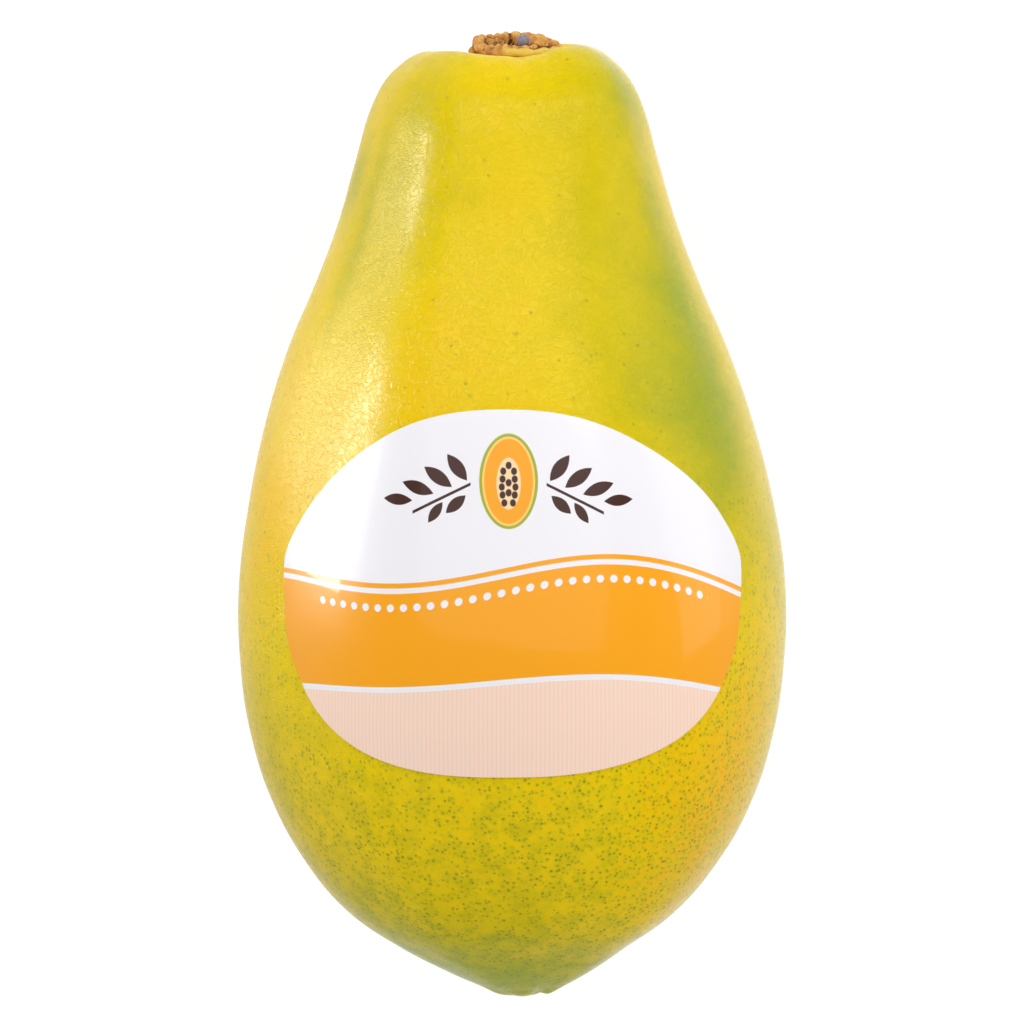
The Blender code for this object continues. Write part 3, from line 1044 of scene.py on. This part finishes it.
def sticker_material(settings):
    material, tree, shader = new_material(
        "printed sticker film",
        Roughness=0.32,
        Specular_IOR_Level=0.22,
        Coat_Weight=0.35,
        Coat_Roughness=0.07,
    )
    flat = add(tree, "ShaderNodeUVMap", uv_map="flat").outputs[0]
    place = add(
        tree,
        "ShaderNodeMapping",
        {"Vector": flat, "Location": (-STICKER_MAP / 2, -STICKER_MAP / 2, 0), "Scale": (STICKER_MAP,) * 3},
    ).outputs[0]
    parts = add(tree, "ShaderNodeSeparateXYZ", {0: place})
    x, y = parts.outputs[0], parts.outputs[1]

    # The band's two edges are long waves, the upper one livelier
    swing = maths(tree, "SINE", times(tree, x, 2 * math.pi / 62))
    bowed = times(tree, times(tree, x, x), -0.0022)
    above = maths(tree, "SUBTRACT", y, maths(tree, "ADD", times(tree, swing, 2.1), bowed))
    below = maths(tree, "SUBTRACT", y, maths(tree, "ADD", times(tree, swing, 0.9), bowed))

    lower = between(tree, below, LOWER_TOP + PRINT_SOFT, LOWER_TOP - PRINT_SOFT)
    colour = mixed(tree, lower, settings.paper, settings.lower)
    ruling = maths(tree, "SINE", times(tree, x, 2 * math.pi / RULING_STEP))
    ruled = times(tree, between(tree, ruling, 0.2, 0.9), lower)
    colour = mixed(tree, times(tree, ruled, 0.22), colour, linear(240, 178, 148))
    under_top = between(tree, above, BAND_TOP + PRINT_SOFT, BAND_TOP - PRINT_SOFT)
    over_bottom = between(tree, below, BAND_BOTTOM - PRINT_SOFT, BAND_BOTTOM + PRINT_SOFT)
    colour = mixed(tree, times(tree, under_top, over_bottom), colour, settings.band)
    colour = mixed(tree, strip(tree, above, *BAND_LINE), colour, settings.band)

    # A row of beads in the band, and above it a halved fruit between two leafy sprigs
    step = maths(tree, "SUBTRACT", maths(tree, "PINGPONG", x, 2.0), 1.0)
    out = maths(tree, "ABSOLUTE", x)
    aside = maths(tree, "POWER", step, 2.0)
    down = maths(tree, "POWER", maths(tree, "ADD", above, BEADS_DOWN), 2.0)
    bead = maths(tree, "SQRT", maths(tree, "ADD", aside, down))
    beads = times(tree, between(tree, bead, *BEAD_RADII), between(tree, out, *BEADS_REACH))
    colour = mixed(tree, beads, colour, settings.paper)
    sides = add(tree, "ShaderNodeCombineXYZ", {0: out, 1: y}).outputs[0]
    leaves = [leaf(tree, sides, *each) for each in SPRIG_LEAVES]
    stalk_line = maths(tree, "SUBTRACT", STALK_START, times(tree, out, STALK_FALL))
    off_stalk = maths(tree, "SUBTRACT", y, stalk_line)
    stalk = strip(tree, off_stalk, -STALK_HALF_WIDTH, STALK_HALF_WIDTH)
    stalk = times(tree, stalk, strip(tree, out, *STALK_REACH))
    colour = mixed(tree, either(tree, stalk, *leaves), colour, settings.ink)
    middle, width, height = HALF_FRUIT
    tones = (linear(168, 176, 36), linear(255, 214, 120), settings.band)
    for inset, tone in zip((0, *HALF_FRUIT_INSETS), tones):
        layer = printed_oval(tree, sides, (0, middle), (width - inset, height - inset))
        colour = mixed(tree, layer, colour, tone)
    drop, *hollow_size = HALF_FRUIT_HOLLOW
    hollow = printed_oval(tree, sides, (0, middle - drop), hollow_size)
    colour = mixed(tree, hollow, colour, linear(255, 222, 170))
    seeds = [printed_oval(tree, sides, seed, HALF_FRUIT_SEED) for seed in HALF_FRUIT_SEEDS]
    colour = mixed(tree, either(tree, *seeds), colour, settings.ink)
    tree.links.new(colour, shader.inputs["Base Color"])
    tree.links.new(rescaled(tree, grain(tree, 9.0), 0.28, 0.36), shader.inputs["Roughness"])
    ripples = bump(tree, grain(tree, 6.0), 0.05, 0.5)
    tree.links.new(bump(tree, grain(tree, 0.5), 0.004, 0.5, ripples), shader.inputs["Normal"])
    return material


class PAPAYA_OT_sticker(bpy.types.Operator):
    """Models the sticker and wraps it round the belly of the fruit"""

    bl_idname = "papaya.sticker"
    bl_label = "Sticker"

    def execute(self, context):
        settings = context.scene.papaya_sticker
        deselect_all()
        bpy.ops.mesh.primitive_grid_add(x_subdivisions=STICKER_COLUMNS, y_subdivisions=STICKER_ROWS, size=2)
        sticker = name_piece("papaya_sticker")
        while sticker.data.uv_layers:
            sticker.data.uv_layers.remove(sticker.data.uv_layers[0])
        bend_sheet(settings, sticker.data)
        edit()
        bpy.ops.mesh.normals_make_consistent(inside=False)
        leave_edit()
        apply_modifier(
            sticker,
            "SHRINKWRAP",
            target=bpy.data.objects["papaya_fruit"],
            wrap_method="NEAREST_SURFACEPOINT",
            wrap_mode="ABOVE_SURFACE",
            offset=STICKER_LIFT * MM,
        )
        apply_modifier(sticker, "SOLIDIFY", thickness=settings.thickness, offset=1.0)
        make_active(sticker)
        bpy.ops.object.shade_smooth_by_angle(angle=math.radians(40))
        sticker.data.materials.append(sticker_material(settings))
        return {"FINISHED"}


# Laying it down


class PAPAYA_OT_lay_down(bpy.types.Operator):
    """Lays the finished pieces on the flat spot, where the frame has the fruit"""

    bl_idname = "papaya.lay_down"
    bl_label = "Lay it down"

    def execute(self, context):
        stands_for = {
            "papaya_fruit": ("fruit", "papaya_skin"),
            "papaya_stem_scar": ("stem_scar", "dry_cork"),
            "papaya_sticker": ("sticker", "coated_paper"),
        }
        turn = laid_rotation()
        points = read_points(bpy.data.objects["papaya_fruit"].data) @ np.array(turn.to_3x3()).T * MM
        low, high = points.min(axis=0), points.max(axis=0)
        frame_low, frame_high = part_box("fruit")
        shift = (frame_low + frame_high - Vector(low) - Vector(high)) / 2
        shift.z = frame_low.z - low[2]
        for name, (node, finish) in stands_for.items():
            piece = bpy.data.objects[name]
            piece.data.transform(Matrix.Translation(shift) @ turn)
            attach(piece, "root")
            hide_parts(node)
        return {"FINISHED"}


# The studio


class StageSettings(bpy.types.PropertyGroup):
    """Floor, lights and camera."""

    floor_size: bpy.props.FloatProperty(
        name="Floor size", description="Side of the square floor", subtype="DISTANCE", default=6.0
    )
    floor_colour: bpy.props.FloatVectorProperty(
        name="Floor colour", description="Plain pale floor", subtype="COLOR", default=(0.20, 0.20, 0.20)
    )
    floor_glow: bpy.props.FloatProperty(
        name="Floor glow", description="How strongly the light table shines", default=0.88, min=0
    )
    lit_patch: bpy.props.FloatProperty(
        name="Lit patch",
        description="Where the floor's light on the fruit fades",
        subtype="DISTANCE",
        default=0.12,
    )
    view_tilt: bpy.props.FloatProperty(
        name="View tilt",
        description="How far the camera stands from straight above, towards the stem end",
        subtype="ANGLE",
        default=math.radians(14),
    )
    view_distance: bpy.props.FloatProperty(
        name="View distance",
        description="From the camera to the fruit's middle",
        subtype="DISTANCE",
        default=1.0,
    )
    view_width: bpy.props.FloatProperty(
        name="View width",
        description="What the picture shows, side to side",
        subtype="DISTANCE",
        default=0.149,
    )
    view_raise: bpy.props.FloatProperty(
        name="View raise",
        description="How far the aim lies above the middle",
        subtype="DISTANCE",
        default=1.16 * MM,
    )
    sky: bpy.props.FloatProperty(
        name="Room light", description="Strength of the light from all round", default=0.16, min=0
    )


# Soft boxes: name, place, width and length in metres, brightness, whether it gives gloss and whether light
SOFT_BOXES = (
    ("top_box", (0.06, 0.58, 1.42), (2.3, 1.15), 0.98, True, True),
    ("back_box", (0.10, 1.22, 0.96), (2.1, 0.60), 3.15, True, True),
    ("fill_box", (-0.10, -1.10, 0.90), (2.4, 1.2), 1.20, False, True),
    ("left_box", (-0.300, 0.088, 0.080), (0.160, 0.150), 2.0, True, True),
    ("left_lamp", (-0.296, 0.078, 0.052), (0.150, 0.095), 26.0, True, False),
    ("right_box", (0.560, 0.200, 0.160), (0.60, 0.30), 1.7, True, True),
)
MIDDLE_HEIGHT = 0.040
# Painted light on the floor, seen only in the fruit's reflections: its far glow, the brighter patch near the
# fruit, the glowing pool by the lamp
MIRRORED_FAR = 0.15
MIRRORED_POOL = 6.0
NEAR_PLACE = (0.02, -0.005)
NEAR_SIZE = (1.0, 1.6)
NEAR_FULL = 0.035
POOL_PLACE = (-0.17, 0.052)
POOL_SIZE = (0.10, 0.035)
POOL_TURN = -17
POOL_EDGES = (1.25, 0.5)


def add_soft_box(name, place, size, brightness, gives_gloss, gives_light):
    """An area light that looks at the fruit. Brightness is what its surface shines with."""
    deselect_all()
    aim = Vector((0, 0, MIDDLE_HEIGHT)) - Vector(place)
    bpy.ops.object.light_add(type="AREA", location=place, rotation=aim.to_track_quat("-Z", "Y").to_euler())
    lamp = name_piece(name)
    lamp.data.shape = "RECTANGLE"
    lamp.data.size, lamp.data.size_y = size
    lamp.data.energy = brightness * math.pi * size[0] * size[1]
    lamp.visible_camera = False
    lamp.visible_glossy = gives_gloss
    lamp.visible_diffuse = gives_light


def add_floor(settings):
    deselect_all()
    bpy.ops.mesh.primitive_plane_add(size=settings.floor_size)
    floor = name_piece("pale_floor")
    material, tree, shader = new_material(
        "pale floor",
        Roughness=0.18,
        Specular_IOR_Level=0.5,
        Emission_Color=(1.0, 1.0, 1.0, 1.0),
        Emission_Strength=settings.floor_glow,
    )
    darker = tuple(0.985 * part for part in settings.floor_colour)
    shade = mixed(tree, grain(tree, 400.0), settings.floor_colour, darker)
    tree.links.new(shade, shader.inputs["Base Color"])
    place = add(tree, "ShaderNodeTexCoord").outputs["Object"]
    # Painted light: for glossy rays the floor glows brightly near the fruit, strongly in a pool by the lamp
    # and dimly far off; other rays see it evenly
    near = oval(tree, place, NEAR_PLACE, NEAR_SIZE, (settings.lit_patch, NEAR_FULL))
    painted_light_pool = oval(tree, place, POOL_PLACE, POOL_SIZE, POOL_EDGES, POOL_TURN)
    mirrored = mixed(tree, near, (MIRRORED_FAR,) * 3, (1.0, 1.0, 1.0))
    mirrored = mixed(tree, painted_light_pool, mirrored, (MIRRORED_POOL,) * 3)
    glossy = add(tree, "ShaderNodeLightPath").outputs["Is Glossy Ray"]
    tree.links.new(mixed(tree, glossy, (1.0, 1.0, 1.0), mirrored), shader.inputs["Emission Color"])
    floor.data.materials.append(material)


def add_camera(settings):
    deselect_all()
    tilt = settings.view_tilt
    back = Vector((0, math.sin(tilt), math.cos(tilt)))
    up = Vector((0, math.cos(tilt), -math.sin(tilt)))
    aim = Vector((0, 0, MIDDLE_HEIGHT)) + up * settings.view_raise
    bpy.ops.object.camera_add(location=aim + back * settings.view_distance, rotation=(-tilt, 0, 0))
    camera = name_piece("camera")
    camera.data.sensor_width = 36.0
    camera.data.lens = camera.data.sensor_width * settings.view_distance / settings.view_width
    camera.data.clip_start = 0.01
    bpy.context.scene.camera = camera


class PAPAYA_OT_stage(bpy.types.Operator):
    """Adds the pale floor, soft lights and camera"""

    bl_idname = "papaya.stage"
    bl_label = "Stage"

    def execute(self, context):
        settings = context.scene.papaya_stage
        add_floor(settings)
        for box in SOFT_BOXES:
            add_soft_box(*box)
        world = context.scene.world or bpy.data.worlds.new("studio")
        context.scene.world = world
        world.use_nodes = True
        background = world.node_tree.nodes["Background"]
        background.inputs["Color"].default_value = (1.0, 1.0, 1.0, 1.0)
        background.inputs["Strength"].default_value = settings.sky
        context.scene.view_settings.view_transform = "Standard"
        add_camera(settings)
        return {"FINISHED"}


class PAPAYA_PT_panel(bpy.types.Panel):
    """Lists the pieces in the order that they are made"""

    bl_label = "Papaya"
    bl_idname = "PAPAYA_PT_panel"
    bl_space_type = "VIEW_3D"
    bl_region_type = "UI"
    bl_category = "Papaya"

    def draw(self, context):
        for step in STEPS:
            self.layout.operator(step.bl_idname)


STEPS = (PAPAYA_OT_fruit, PAPAYA_OT_stem_scar, PAPAYA_OT_sticker, PAPAYA_OT_lay_down, PAPAYA_OT_stage)
SETTINGS = {
    "papaya_fruit": FruitSettings,
    "papaya_scar": ScarSettings,
    "papaya_sticker": StickerSettings,
    "papaya_stage": StageSettings,
}
CLASSES = (*SETTINGS.values(), *STEPS, PAPAYA_PT_panel)


def register():
    for each in CLASSES:
        bpy.utils.register_class(each)
    for name, settings in SETTINGS.items():
        setattr(bpy.types.Scene, name, bpy.props.PointerProperty(type=settings))


def unregister():
    for name in SETTINGS:
        delattr(bpy.types.Scene, name)
    for each in reversed(CLASSES):
        bpy.utils.unregister_class(each)


def main():
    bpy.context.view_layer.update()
    register()
    bpy.ops.papaya.fruit()
    bpy.ops.papaya.stem_scar()
    bpy.ops.papaya.sticker()
    bpy.ops.papaya.lay_down()
    bpy.ops.papaya.stage()


if __name__ == "__main__":
    main()
